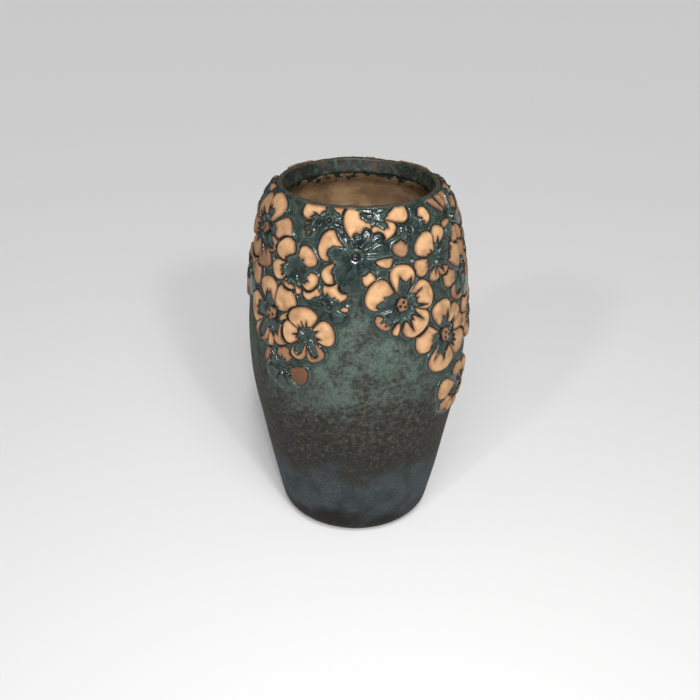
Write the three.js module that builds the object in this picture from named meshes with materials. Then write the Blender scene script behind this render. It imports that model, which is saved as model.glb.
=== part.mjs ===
// A flower-applied stoneware vase, in millimetres, +Z up, its foot centred on the origin.
// The front faces -Y. Every piece of clay is one closed solid, luted on with a thin line of slip.
import * as THREE from "three";

// ---- Driving dimensions -------------------------------------------------------------------
const FOOT_RADIUS = 33.2; // flat disc that the vase stands on
const FOOT_ROUNDING = 12.8; // radius of the rounded base edge
const LEAN = 12; // degrees that the wall leans out where it leaves the base edge
const WALL = 5; // horizontal thickness of the thrown wall
const FLOOR = 7; // thickness of the floor
const FLOOR_CORNER = 2.5; // height of the slope where the inside wall meets the floor
const SLIP = 0.3; // line of slip between two pieces

// The barrel above the rounded base edge, radius and height, up to the mouth.
const BARREL = [
  [50.2, 30],
  [56.2, 60],
  [61.8, 90],
  [63.9, 116],
  [62.7, 142],
  [59.7, 168],
  [54.9, 192],
  [51.0, 201.5],
  [47.2, 207.4],
];
const BARREL_RINGS = 17; // rings of facets up the barrel
const BODY_SIDES = 48; // facets around the body and the rim

const MOUTH_RADIUS = 45.9; // hole in the shoulder that the rim coil sits in
const SHOULDER_TOP = 208; // height of the clay around that hole
const MOUTH_LEDGE = 201.6; // where the hole opens out into the hollow
const RIM_OUTER = MOUTH_RADIUS - SLIP;
const LIP_THICKNESS = 3.2; // of the coil at its rounded top
const RIM_THICKNESS = 5; // of the coil at its foot
const RIM_BOTTOM = 201.2;
const RIM_CHAMFER = 1; // of the coil's inner edge underneath
const HEIGHT = 210; // top of the lip

const PETALS = 5;
const BLOSSOM_SIDES = PETALS * 4; // facets around a blossom
const BEDDING = 0.5; // slip under a blossom, more than SLIP because the facets cut corners
const BLOSSOM_TOP = 2.7; // height of a blossom's face above the wall
const BLOSSOM_EDGE = 1.9; // height of its edge
const CROWN = 0.72; // share of the reach at which it is highest
const UNDERSIDE_RING = 0.55; // share of the reach of an extra ring underneath, to follow the wall
const DIMPLE = 0.7; // depth of the middle of a blossom without a button
const RIGID_MIDDLE = 2; // radius of that middle, which is the same in every direction
const SOCKET_FLOOR = 1.3; // height of the thumbed hollow that a button sits in
const SOCKET_GAP = 0.7; // between a button and the hollow's top edge
const SOCKET_DROP = 0.2; // depth of that edge below the blossom's face
const NOTCH = 0.16; // share of the reach that is cut away between two petals
const SPREADING_GAP = 0.02; // extra gap between neighbours for each millimetre between their centres

const BUTTON_SIDES = 9;
const BUTTON_EDGE = 2.6; // height of a button's edge above the wall
const BUTTON_CROWN = 3.1; // height of its face
const BUTTON_TOP = 3.2; // height of its middle
const BUTTON_FACE = 0.6; // share of its radius at which the face begins

const LEAF_SIDES = 12;
const LEAF_EDGE = 1.5; // height of the leaf's edge above the wall
const LEAF_TOP = 2.2; // height of its middle

// ---- The blossoms -------------------------------------------------------------------------
// turn: degrees around the vase from the front, positive to the right; height: of the centre;
// reach: centre to petal tip; spin: degrees; button: radius of the centre button, 0 for none.
const BLOSSOMS = [
  // the shoulder, in front
  { turn: -1, height: 187, reach: 22, spin: 60, button: 4.4 },
  { turn: -17, height: 203, reach: 13, spin: 10, button: 2.4 },
  { turn: 10, height: 205, reach: 17, spin: 80, button: 0 },
  { turn: -62, height: 191, reach: 20, spin: 90, button: 3.0 },
  { turn: 29, height: 198, reach: 13, spin: 40, button: 2.6 },
  { turn: 66, height: 197, reach: 16, spin: 30, button: 2.8 },
  // the upper wall, in front
  { turn: -34, height: 177, reach: 16, spin: 54, button: 0 },
  { turn: 44, height: 181, reach: 16, spin: 70, button: 0 },
  { turn: -14, height: 159, reach: 13, spin: 50, button: 0 },
  { turn: 22.5, height: 160, reach: 19, spin: 20, button: 3.2 },
  { turn: 67, height: 166, reach: 16, spin: 65, button: 0 },
  { turn: -74, height: 163, reach: 17, spin: 30, button: 0 },
  // the hanging clusters, in front
  { turn: -47, height: 148, reach: 18, spin: 15, button: 3.4 },
  { turn: -25, height: 142, reach: 16, spin: 36, button: 0 },
  { turn: -39, height: 118, reach: 15, spin: 0, button: 0 },
  { turn: 49, height: 136, reach: 20, spin: 55, button: 3.4 },
  { turn: 64, height: 99, reach: 18, spin: 20, button: 0 },
  // the right side and the back
  { turn: 84, height: 181, reach: 18, spin: 5, button: 3.0 },
  { turn: 80, height: 137, reach: 17, spin: 25, button: 0 },
  { turn: 91, height: 204, reach: 14, spin: 45, button: 0 },
  { turn: 101, height: 158, reach: 19, spin: 60, button: 3.2 },
  { turn: 113, height: 190, reach: 20, spin: 15, button: 4.2 },
  { turn: 133, height: 168, reach: 19, spin: 40, button: 0 },
  { turn: 139, height: 201, reach: 16, spin: 70, button: 2.6 },
  { turn: 126, height: 141, reach: 15, spin: 20, button: 0 },
  { turn: 160, height: 184, reach: 19, spin: 30, button: 3.2 },
  { turn: 157, height: 149, reach: 20, spin: 50, button: 3.4 },
  { turn: 150, height: 117, reach: 16, spin: 10, button: 0 },
  { turn: 180, height: 203, reach: 16, spin: 55, button: 0 },
  { turn: -174, height: 166, reach: 17, spin: 0, button: 0 },
  { turn: -157, height: 188, reach: 20, spin: 25, button: 4.2 },
  { turn: -150, height: 155, reach: 18, spin: 65, button: 3.0 },
  { turn: -131, height: 200, reach: 17, spin: 35, button: 0 },
  { turn: -129, height: 172, reach: 19, spin: 10, button: 3.2 },
  { turn: -133, height: 134, reach: 17, spin: 45, button: 0 },
  { turn: -107, height: 186, reach: 18, spin: 60, button: 0 },
  { turn: -104, height: 151, reach: 19, spin: 20, button: 3.4 },
  { turn: -88, height: 203, reach: 14, spin: 50, button: 0 },
  { turn: -117, height: 110, reach: 16, spin: 30, button: 0 },
];

// A loose leaf that fills a gap: reach is half its length, width half its width, spin its tip's angle.
const LEAF = { turn: -35.5, height: 195.5, reach: 5.5, width: 4, spin: 105 };

// ---- Finishes -----------------------------------------------------------------------------
const finish = (color, roughness) => new THREE.MeshStandardMaterial({ color, roughness, metalness: 0 });
const darkGlaze = finish(0x2b3a38, 0.4);
const thinGlaze = finish(0x4a4338, 0.5);
const bareClay = finish(0xc08a5c, 0.85);
const buttonClay = finish(0xa87850, 0.85);

// ---- The wall as a curve ------------------------------------------------------------------
const degrees = THREE.MathUtils.degToRad;

function arc(radius, height, r, from, to, count) {
  return Array.from({ length: count }, (_, i) => {
    const angle = degrees(from + ((to - from) * i) / (count - 1));
    return new THREE.Vector2(radius + r * Math.cos(angle), height + r * Math.sin(angle));
  });
}

const baseEdge = arc(FOOT_RADIUS, FOOT_ROUNDING, FOOT_ROUNDING, -90, -LEAN, 6);
const barrel = new THREE.SplineCurve([
  baseEdge.at(-1),
  ...BARREL.map(([r, z]) => new THREE.Vector2(r, z)),
]);
barrel.arcLengthDivisions = 400;
const barrelLength = barrel.getLength();
const wallAt = (along) => barrel.getPointAt(THREE.MathUtils.clamp(along / barrelLength, 0, 1));

// Distance along the barrel at which the wall has the given height.
function alongAt(height) {
  let low = 0;
  let high = barrelLength;
  for (let step = 0; step < 40; step++) {
    const middle = (low + high) / 2;
    if (wallAt(middle).y < height) low = middle;
    else high = middle;
  }
  return (low + high) / 2;
}

// A point over the wall: turn in radians, distance along the barrel, height above the clay.
function overWall(turn, along, lift) {
  const foot = wallAt(along);
  const slope = barrel.getTangentAt(THREE.MathUtils.clamp(along / barrelLength, 0, 1));
  const radius = foot.x + slope.y * lift;
  return new THREE.Vector3(radius * Math.sin(turn), -radius * Math.cos(turn), foot.y - slope.x * lift);
}

// ---- Turned pieces ------------------------------------------------------------------------
// LatheGeometry turns about Y, so a profile of (radius, height) stands up along Z afterwards.
function turned(name, profile, material) {
  const geometry = new THREE.LatheGeometry(profile, BODY_SIDES);
  geometry.rotateX(Math.PI / 2);
  const mesh = new THREE.Mesh(geometry, material);
  mesh.name = name;
  return mesh;
}

function thrownBody() {
  const step = barrelLength / BARREL_RINGS;
  const outside = Array.from({ length: BARREL_RINGS + 1 }, (_, ring) => wallAt(ring * step));
  const lastInside = outside.filter((p) => p.y < MOUTH_LEDGE - WALL).length;
  const inside = outside.slice(1, lastInside).reverse().map((p) => new THREE.Vector2(p.x - WALL, p.y));
  return turned("thrown_body", [
    new THREE.Vector2(0, 0),
    ...baseEdge.slice(0, -1),
    ...outside,
    new THREE.Vector2(MOUTH_RADIUS, SHOULDER_TOP),
    new THREE.Vector2(MOUTH_RADIUS, MOUTH_LEDGE),
    ...inside,
    new THREE.Vector2(FOOT_RADIUS + WALL, FLOOR + FLOOR_CORNER),
    new THREE.Vector2(FOOT_RADIUS, FLOOR),
    new THREE.Vector2(0, FLOOR),
  ], darkGlaze);
}

function rimCoil() {
  const round = LIP_THICKNESS / 2;
  const lip = arc(RIM_OUTER - round, HEIGHT - round, round, 0, 180, 7);
  const inner = RIM_OUTER - RIM_THICKNESS;
  const ledge = [
    new THREE.Vector2(inner, RIM_BOTTOM + RIM_CHAMFER),
    new THREE.Vector2(inner + RIM_CHAMFER, RIM_BOTTOM),
    new THREE.Vector2(RIM_OUTER, RIM_BOTTOM),
  ];
  return turned("rim_coil", [...lip, ...ledge, lip[0].clone()], thinGlaze);
}

// ---- Blossoms -----------------------------------------------------------------------------
function placed(piece) {
  const along = alongAt(piece.height);
  return { ...piece, turn: degrees(piece.turn), along, radius: wallAt(along).x };
}

const blossoms = BLOSSOMS.map(placed);
const leaf = placed(LEAF);

// Offset from one blossom's centre to another's in the plane of the wall between them.
function offset(from, to) {
  const turn = Math.atan2(Math.sin(to.turn - from.turn), Math.cos(to.turn - from.turn));
  return new THREE.Vector2((turn * (from.radius + to.radius)) / 2, to.along - from.along);
}

// How far five petals reach in one direction.
function petalReach(blossom, angle) {
  const lobe = Math.abs(Math.cos((PETALS / 2) * (angle - degrees(blossom.spin))));
  return blossom.reach * (1 - NOTCH * (1 - Math.sqrt(lobe)));
}

// Stops a piece's reach in one direction where its neighbours and the mouth begin.
function trimmed(piece, angle, wanted) {
  const direction = new THREE.Vector2(Math.cos(angle), Math.sin(angle));
  let reach = wanted;
  for (const other of [...blossoms, leaf]) {
    if (other === piece) continue;
    const between = offset(piece, other);
    const distance = between.length();
    const share = piece.reach / (piece.reach + other.reach);
    const facing = direction.dot(between) / distance;
    // The plane's scale changes with the wall's radius, so the gap grows with the distance.
    const gap = SLIP + SPREADING_GAP * distance;
    if (facing > 0) reach = Math.min(reach, (distance * share - gap) / facing);
  }
  const toMouth = barrelLength - SLIP - piece.along;
  return direction.y > 0 ? Math.min(reach, toMouth / direction.y) : reach;
}

// Wraps a lathe-turned disc onto the wall. The disc's radius counts in millimetres out to
// `rigid` and then stretches so that `nominal` lands on the blossom's own outline.
function wrapped(geometry, blossom, rigid, nominal, outline) {
  const place = geometry.attributes.position;
  for (let i = 0; i < place.count; i++) {
    const flat = Math.hypot(place.getX(i), place.getZ(i));
    const angle = Math.atan2(-place.getZ(i), place.getX(i));
    const beyond = Math.max(flat - rigid, 0) / (nominal - rigid);
    const reach = Math.min(flat, rigid) + beyond * (outline(angle) - rigid);
    const turn = blossom.turn + (reach * Math.cos(angle)) / blossom.radius;
    const point = overWall(turn, blossom.along + reach * Math.sin(angle), place.getY(i));
    place.setXYZ(i, point.x, point.y, point.z);
  }
  geometry.computeVertexNormals();
  return geometry;
}

function blossomMesh(blossom, name) {
  const { reach, button } = blossom;
  const socket = button + SOCKET_GAP;
  const hollow = button
    ? [[socket, BLOSSOM_TOP - SOCKET_DROP], [socket - SLIP, SOCKET_FLOOR], [0, SOCKET_FLOOR]]
    : [[0, BLOSSOM_TOP - DIMPLE]];
  const profile = [
    [0, BEDDING],
    [reach * UNDERSIDE_RING, BEDDING],
    [reach, BEDDING],
    [reach, BLOSSOM_EDGE],
    [reach * CROWN, BLOSSOM_TOP],
    ...hollow,
  ].map(([r, h]) => new THREE.Vector2(r, h));
  const disc = new THREE.LatheGeometry(profile, BLOSSOM_SIDES);
  const rigid = button ? socket : RIGID_MIDDLE;
  const outline = (angle) => trimmed(blossom, angle, petalReach(blossom, angle));
  const geometry = wrapped(disc, blossom, rigid, reach, outline);
  const mesh = new THREE.Mesh(geometry, bareClay);
  mesh.name = name;
  return mesh;
}

// A button is a low dome that sits in the blossom's thumbed hollow.
function buttonMesh(blossom, name) {
  const { button } = blossom;
  const seat = SOCKET_FLOOR + SLIP;
  const profile = [
    [0, seat],
    [button, seat],
    [button, BUTTON_EDGE],
    [button * BUTTON_FACE, BUTTON_CROWN],
    [0, BUTTON_TOP],
  ].map(([r, h]) => new THREE.Vector2(r, h));
  const dome = new THREE.LatheGeometry(profile, BUTTON_SIDES);
  const mesh = new THREE.Mesh(wrapped(dome, blossom, button, button + 1, () => button + 1), buttonClay);
  mesh.name = name;
  return mesh;
}

// The leaf is a small pointed oval, cut to shape and laid on like a blossom.
function leafMesh(name) {
  const { reach, width, spin } = LEAF;
  const profile = [[0, BEDDING], [reach, BEDDING], [reach, LEAF_EDGE], [0, LEAF_TOP]];
  const disc = new THREE.LatheGeometry(profile.map(([r, h]) => new THREE.Vector2(r, h)), LEAF_SIDES);
  const outline = (angle) => {
    const across = Math.abs(Math.sin(angle - degrees(spin)));
    return trimmed(leaf, angle, THREE.MathUtils.lerp(reach, width, across));
  };
  const mesh = new THREE.Mesh(wrapped(disc, leaf, 0, reach, outline), darkGlaze);
  mesh.name = name;
  return mesh;
}

// ---- The vase -----------------------------------------------------------------------------
const vase = new THREE.Group();
vase.add(thrownBody(), rimCoil());
blossoms.forEach((blossom, index) => {
  const number = String(index + 1).padStart(2, "0");
  vase.add(blossomMesh(blossom, `blossom_${number}`));
  if (blossom.button) vase.add(buttonMesh(blossom, `button_${number}`));
});
vase.add(leafMesh("leaf"));

export default vase;
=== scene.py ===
"""Looks for a flower-applied stoneware vase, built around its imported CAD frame.

Every clay piece is made here as a fine closed mesh wrapped on the wall that the CAD body gives: the
turned body, the rim coil, and one piece for each blossom, button and leaf. Lengths inside the script
are millimetres until a mesh is made. "Turn" is the angle around the vase from its front (-Y), positive
to the viewer's right, and "along" is the distance up the wall's surface from the foot.
"""
import math

import bpy
import numpy as np
from mathutils import Matrix, Vector


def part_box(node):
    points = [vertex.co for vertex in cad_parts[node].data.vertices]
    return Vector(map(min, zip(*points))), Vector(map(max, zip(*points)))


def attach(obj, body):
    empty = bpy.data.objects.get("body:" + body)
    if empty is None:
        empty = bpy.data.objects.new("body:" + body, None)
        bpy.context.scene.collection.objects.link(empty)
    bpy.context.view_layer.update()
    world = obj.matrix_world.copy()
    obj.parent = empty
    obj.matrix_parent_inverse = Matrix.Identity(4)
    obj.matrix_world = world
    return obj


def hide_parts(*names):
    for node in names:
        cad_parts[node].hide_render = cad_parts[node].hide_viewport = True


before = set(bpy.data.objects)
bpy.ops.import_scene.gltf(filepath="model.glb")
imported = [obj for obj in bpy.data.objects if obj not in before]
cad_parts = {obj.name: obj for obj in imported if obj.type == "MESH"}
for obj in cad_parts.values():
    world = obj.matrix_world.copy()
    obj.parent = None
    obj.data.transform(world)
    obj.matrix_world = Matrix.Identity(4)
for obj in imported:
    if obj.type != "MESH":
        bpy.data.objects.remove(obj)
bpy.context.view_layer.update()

MM = 0.001
TINY = 1e-9
LINE_STEP = 0.25  # spacing of the points of the wall's line
SPAN_SAMPLES = 40  # points between two of its corners, before they are spaced evenly
FLOWER_GRID = (240, 60)  # mesh points around and rings across
BUTTON_GRID = (64, 22)
LEAF_GRID = (96, 30)
BODY_AROUND = 400  # points around the body and the rim
BODY_ROW = 1.4  # spacing of the body's rings

SKIRT = 2.4  # width of the glaze fillet around a blossom
SUNK = 1.0  # how deep a piece's buried edge goes into the wall
ROOT = 1.5  # how much deeper the point that closes a blossom goes
PETAL_TOP = 2.2  # height of a petal's face above the wall
PETAL_ROUND = 1.7  # radius of its rounded edge
PETAL_DOME = 0.35  # how much higher its middle is than its face
PETAL_REACH = 1.02  # petals are this much longer than their tables say
PETAL_WIDTH = 1.07  # and this much wider, so that they meet
SLAB = 0.9  # height of the clay left between two petals
FILLET = 0.9  # height of the glaze that gathers against a petal
CARVED = 0.85  # depth of the carved star
GLAZED_CARVED = 0.35  # share of that depth in a petal that is glazed all over
RIDGE = 0.40  # height of the ridge that outlines such a petal
VEIN = 0.18  # height of the burr beside a cut
BARE_MARGIN = 0.2  # bare clay runs this far past a petal's outline and a star's
NEVER_BARE = -3.0
FAR_AWAY = 60.0


# ---- Reading the frame ----
def corners(node):
    """Positions of a CAD node's face corners, in millimetres."""
    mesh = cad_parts[node].data
    co = np.empty(len(mesh.vertices) * 3)
    mesh.vertices.foreach_get("co", co)
    loops = np.empty(len(mesh.loops), int)
    mesh.loops.foreach_get("vertex_index", loops)
    return co.reshape(-1, 3)[loops] / MM


def ring_table(node):
    """A turned node's rings: height to (smallest radius, largest radius)."""
    rings = {}
    for x, y, z in corners(node):
        rings.setdefault(round(float(z), 2), []).append(math.hypot(x, y))
    return {z: (min(radii), max(radii)) for z, radii in sorted(rings.items())}


def smooth_line(points, step=LINE_STEP):
    """A Catmull-Rom line through the points, resampled at even steps. Returns (points, length)."""
    p = np.array(points, float)
    p = np.vstack([2 * p[0] - p[1], p, 2 * p[-1] - p[-2]])
    t = np.linspace(0, 1, SPAN_SAMPLES, endpoint=False)[:, None]
    runs = []
    for a, b, c, d in zip(p[:-3], p[1:-2], p[2:-1], p[3:]):
        runs.append(0.5 * (2 * b + (c - a) * t + (2 * a - 5 * b + 4 * c - d) * t**2
                           + (3 * b - a - 3 * c + d) * t**3))
    line = np.vstack(runs + [p[-2:-1]])
    far = np.concatenate([[0], np.cumsum(np.hypot(*np.diff(line, axis=0).T))])
    even = np.arange(0, far[-1], step)
    return np.column_stack([np.interp(even, far, line[:, k]) for k in (0, 1)]), far[-1]


def bulging(points):
    """The points of (radius, height) that lie on the outside of the section, foot to mouth."""
    outer = []
    for r, z in points:
        while len(outer) > 1:
            (r1, z1), (r2, z2) = outer[-2:]
            if (r2 - r1) * (z - z1) - (z2 - z1) * (r - r1) > 0:
                break
            outer.pop()
        outer.append((r, z))
    return outer


body_rings = ring_table("thrown_body")
rim_rings = ring_table("rim_coil")
HEIGHT = max(rim_rings)
MOUTH_RADIUS = body_rings[max(body_rings)][0]
section = bulging([(big, z) for z, (small, big) in body_rings.items() if z < max(body_rings)])
section.append((MOUTH_RADIUS + 0.1, HEIGHT - 1.3))  # tucked under the coil's crest
UNDER_LIP = min(rim_rings)
LIP_INNER = min(small for small, big in rim_rings.values())
LIP_OUTER = max(big for small, big in rim_rings.values())
LIP_TOP_INNER = min(small for z, (small, big) in rim_rings.items() if z > HEIGHT - 2)
# The wall's thickness is read between its rounded foot and its mouth, and the inside floor is the
# lowest place above the base where the body reaches its own axis.
EVEN_WALL = (20, HEIGHT * 0.9)
BASE_TOP = 5
WALL = np.median([big - small for z, (small, big) in body_rings.items()
                  if EVEN_WALL[0] < z < EVEN_WALL[1]])
FLOOR = min(z for z, (small, big) in body_rings.items() if z > BASE_TOP and small < 1)
wall_line, wall_length = smooth_line(section)
wall_tangent = np.gradient(wall_line, axis=0)
wall_tangent /= np.linalg.norm(wall_tangent, axis=1)[:, None]
wall_along = np.arange(len(wall_line)) * LINE_STEP


def wall_at(along):
    """Radius and height of the wall, and its tangent, at a distance along it."""
    radius, height = (np.interp(along, wall_along, wall_line[:, k]) for k in (0, 1))
    up_r, up_z = (np.interp(along, wall_along, wall_tangent[:, k]) for k in (0, 1))
    return radius, height, up_r, up_z


def over_wall(turn, along, lift):
    """Points over the wall as an array of x, y, z: turn in radians, lift off the surface."""
    radius, height, up_r, up_z = wall_at(along)
    r = radius + up_z * lift
    return np.stack([r * np.sin(turn), -r * np.cos(turn), height - up_r * lift], -1)


def along_at(point):
    """Turn and distance along the wall of the place under a point."""
    x, y, z = point
    flat = np.hypot(wall_line[:, 0] - math.hypot(x, y), wall_line[:, 1] - z)
    return math.atan2(x, -y), wall_along[flat.argmin()]


def hub(node):
    """A blossom's fan of faces meets at its centre: the place that most face corners share."""
    places, counts = np.unique(np.round(corners(node), 3), axis=0, return_counts=True)
    return along_at(places[counts.argmax()])


# ---- Small tools ----
def smoothstep(x, low, high):
    t = np.clip((x - low) / (high - low), 0, 1)
    return t * t * (3 - 2 * t)


def signed_distance(points, outline):
    """Distance from each point to a closed outline, positive inside it."""
    start = outline
    edge = np.roll(outline, -1, axis=0) - start
    away = points[:, None] - start[None]
    t = np.clip((away * edge).sum(-1) / np.maximum((edge * edge).sum(-1), TINY), 0, 1)
    far = np.sqrt(((away - edge * t[..., None]) ** 2).sum(-1).min(1))
    above = start[:, 1] > points[:, 1:]
    ends_above = (start + edge)[:, 1] > points[:, 1:]
    rise = np.where(np.abs(edge[:, 1]) < TINY, TINY, edge[:, 1])
    crossing = start[:, 0] + edge[:, 0] * (points[:, 1:] - start[:, 1]) / rise
    inside = ((above != ends_above) & (points[:, :1] < crossing)).sum(1) % 2 == 1
    return np.where(inside, far, -far)


def polar(angle, radius):
    return np.stack([radius * np.cos(angle), radius * np.sin(angle)], -1)


def evenly(count):
    """Angles evenly all the way round."""
    return np.linspace(0, 2 * math.pi, count, endpoint=False)


def ridge_at(x, place, width):
    """1 where x is at the place, falling off in a bell on both sides."""
    return np.exp(-(((x - place) / width) ** 2))


def cushion(edge, around, across):
    """A round grid from its centre point out to an edge: x, y, and how far out each point is, 0 to 1."""
    angles = evenly(around)
    share = np.linspace(0, 1, across + 1)[1:, None]
    x = np.append(0, share * edge * np.cos(angles))
    y = np.append(0, share * edge * np.sin(angles))
    return x, y, np.append(0, np.repeat(share, around))


WAVES = 5  # in a ripple
WAVE_CREST = 3  # about the highest that they add up to


def ripple(x, y, size, seed):
    """A gentle uneven field of about -1 to 1, with bumps of the given size."""
    draw = np.random.default_rng(seed)
    total = 0
    for _ in range(WAVES):
        heading, phase = draw.uniform(0, 2 * math.pi, 2)
        stretch = draw.uniform(0.7, 1.5) * 2 * math.pi / size
        total = total + np.sin(stretch * (x * math.cos(heading) + y * math.sin(heading)) + phase)
    return total / WAVE_CREST


def put(name, data):
    """A new object in the scene."""
    made = bpy.data.objects.new(name, data)
    bpy.context.scene.collection.objects.link(made)
    return made


def make_piece(name, points, faces, material, node, slot_name, **fields):
    """A smooth mesh piece that rides on the body and stands for a CAD node."""
    mesh = bpy.data.meshes.new(name)
    mesh.vertices.add(len(points))
    mesh.vertices.foreach_set("co", (np.asarray(points) * MM).astype(np.float32).ravel())
    sizes = np.array([len(f) for f in faces])
    mesh.loops.add(int(sizes.sum()))
    mesh.loops.foreach_set("vertex_index", np.concatenate(faces).astype(np.int32))
    mesh.polygons.add(len(faces))
    mesh.polygons.foreach_set("loop_start", (np.cumsum(sizes) - sizes).astype(np.int32))
    mesh.polygons.foreach_set("use_smooth", np.ones(len(faces), bool))
    mesh.update(calc_edges=True)
    for field, values in fields.items():
        layer = mesh.attributes.new(field, "FLOAT", "POINT")
        layer.data.foreach_set("value", np.asarray(values, np.float32))
    mesh.materials.append(material)
    piece = put(name, mesh)
    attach(piece, "root")
    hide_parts(node)


def fan_grid(rings, around):
    """Faces of a closed cushion: a top centre, rings from it outwards, and a bottom centre."""
    ring = np.arange(around)
    after = (ring + 1) % around
    faces = [np.array([0, 1 + a, 1 + b]) for a, b in zip(ring, after)]
    for k in range(rings - 1):
        inner = 1 + k * around
        outer = inner + around
        faces += list(np.stack([inner + ring, outer + ring, outer + after, inner + after], -1))
    last = 1 + (rings - 1) * around
    bottom = last + around
    faces += [np.array([last + b, last + a, bottom]) for a, b in zip(ring, after)]
    return faces


# ---- Shader helpers ----
MIX_OUTPUT = {"FLOAT": 0, "RGBA": 2}


class Shader:
    """A node material, with a short call for each kind of node that the clay and glaze use."""

    def __init__(self, name):
        self.material = bpy.data.materials.new(name)
        self.material.use_nodes = True
        self.tree = self.material.node_tree
        self.surface = self.tree.nodes["Principled BSDF"]

    def node(self, kind, inputs=(), **settings):
        made = self.tree.nodes.new(kind)
        for key, value in settings.items():
            setattr(made, key, value)
        for socket, value in dict(inputs).items():
            self.feed(made.inputs[socket], value)
        return made

    def feed(self, socket, value):
        if isinstance(value, bpy.types.NodeSocket):
            self.tree.links.new(value, socket)
        else:
            socket.default_value = value

    def finish(self, colour, roughness, specular, normal=None):
        values = {"Base Color": colour, "Roughness": roughness, "Specular IOR Level": specular}
        for socket, value in values.items():
            self.feed(self.surface.inputs[socket], value)
        if normal:
            self.feed(self.surface.inputs["Normal"], normal)
        return self.material

    def place(self):
        """Position on the vase, in millimetres."""
        where = self.node("ShaderNodeTexCoord").outputs["Object"]
        scaled = self.node("ShaderNodeVectorMath", {0: where, "Scale": 1 / MM}, operation="SCALE")
        return scaled.outputs[0]

    def height(self, place):
        return self.node("ShaderNodeSeparateXYZ", {0: place}).outputs["Z"]

    def field(self, name):
        return self.node("ShaderNodeAttribute", attribute_name=name).outputs["Fac"]

    def noise(self, place, size, detail=3.0, rough=0.55):
        """Noise from 0 to 1 with features of about the given size in millimetres."""
        settings = {"Vector": place, "Scale": 1 / size, "Detail": detail, "Roughness": rough}
        return self.node("ShaderNodeTexNoise", settings).outputs["Fac"]

    def swing(self, noise, width):
        """The noise, made to swing about zero over the given width."""
        return self.times(self.math("SUBTRACT", noise, 0.5), width)

    def cells(self, place, size):
        """Distance to the middle of the nearest cell, in cells of the given size."""
        settings = {"Vector": place, "Scale": 1 / size}
        return self.node("ShaderNodeTexVoronoi", settings).outputs["Distance"]

    def math(self, operation, a, b=0.0):
        return self.node("ShaderNodeMath", {0: a, 1: b}, operation=operation).outputs[0]

    def plus(self, a, b):
        return self.math("ADD", a, b)

    def times(self, a, b):
        return self.math("MULTIPLY", a, b)

    def step(self, value, low, high, start=0.0, end=1.0):
        """A smooth step from start to end as value goes from low to high."""
        inputs = {"Value": value, "From Min": low, "From Max": high, "To Min": start, "To Max": end}
        return self.node("ShaderNodeMapRange", inputs, interpolation_type="SMOOTHSTEP").outputs[0]

    def mix(self, share, a, b):
        """Mixes two colours."""
        return self.mixed("RGBA", 6, share, a, b)

    def blend(self, share, a, b):
        """Mixes two numbers."""
        return self.mixed("FLOAT", 2, share, a, b)

    def mixed(self, kind, first, share, a, b):
        """The mix node keeps its two values in the sockets from first on, and in an output by kind."""
        made = self.node("ShaderNodeMix", data_type=kind)
        self.feed(made.inputs["Factor"], share)
        self.feed(made.inputs[first], a)
        self.feed(made.inputs[first + 1], b)
        return made.outputs[MIX_OUTPUT[kind]]

    def bump(self, height, distance, under=None):
        made = self.node("ShaderNodeBump", {"Height": height, "Distance": distance * MM})
        if under:
            self.feed(made.inputs["Normal"], under)
        return made.outputs[0]


def rgb(red, green, blue):
    return (red, green, blue, 1.0)


# ---- Materials ----
GREEN_DEEP = rgb(0.011, 0.021, 0.017)
GREEN_CLEAR = rgb(0.036, 0.060, 0.048)
# Lighter glaze for the bead beside bare clay: partly milky glaze, partly a painted highlight along the
# ridge.
MILKY_GLAZE_AND_HIGHLIGHT = rgb(0.075, 0.120, 0.100)
INK_BLUE = rgb(0.007, 0.009, 0.014)
TEAL_CLOUD = rgb(0.086, 0.124, 0.100)
ASH_GREEN = rgb(0.064, 0.073, 0.060)
ASH_DEEP = rgb(0.024, 0.027, 0.023)
ASH_BROWN = rgb(0.060, 0.056, 0.044)
UMBER = rgb(0.013, 0.013, 0.012)
OLIVE = rgb(0.100, 0.094, 0.060)
SLATE = rgb(0.041, 0.052, 0.053)
SLATE_DEEP = rgb(0.026, 0.034, 0.036)
FOOT_DARK = rgb(0.009, 0.008, 0.007)
CLAY_PALE = rgb(0.52, 0.305, 0.150)
CLAY_TAN = rgb(0.33, 0.175, 0.078)
CLAY_RUST = rgb(0.11, 0.042, 0.018)
BURNT = rgb(0.012, 0.008, 0.006)
INSIDE_TAN = rgb(0.25, 0.155, 0.080)
INSIDE_BROWN = rgb(0.13, 0.078, 0.040)
BAND_DARK = rgb(0.012, 0.014, 0.012)
BAND_BROWN = rgb(0.055, 0.042, 0.026)
RIM_WORN = rgb(0.060, 0.047, 0.034)


# Places across a flower's outline, as the distance into bare clay, where one look passes to the next.
# In this and the zones below, the look is wholly there from the second value on.
CLAY_TOASTED = (2.1, 0.4)
CLAY_BURNT = (0.66, 0.28)
GLAZE_FROM = (0.12, -0.02)
GLAZE_BURNT = (-0.5, -0.05)
BEAD_OUTSIDE = (-1.5, -0.9)
BEAD_INSIDE = (-0.2, -0.7)
WANDER = 0.55  # how far the outline wanders

# Zones of the wall, in millimetres above the table, after its height has been made to drift.
DRIFT = 46.0
ASH_GREENS = (72, 128)
DARK_GREENS = (72, 135)
MOTTLE_SHOWS = (45, 110)
TEAL_ZONE = (66, 142)
OLIVE_FROM = (40, 66)
OLIVE_FADES = (158, 110)
SLATE_BELOW = (54, 42)
SLATE_FLECKS = 50.0
FOOT_BELOW = (26, 8)
RUST_DOTS_BELOW = (30, 14)
WORN_FOOT = (1.3, 0.6)
SPLASHED_FROM = (183, 196)  # splashes of glaze on the inside
NEAR_FLOWERS = (4.0, 0.4)  # distance from a blossom's edge at which the garland's glaze takes over
GLOSS_NEAR_FLOWERS = (5.0, 0.5)


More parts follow.
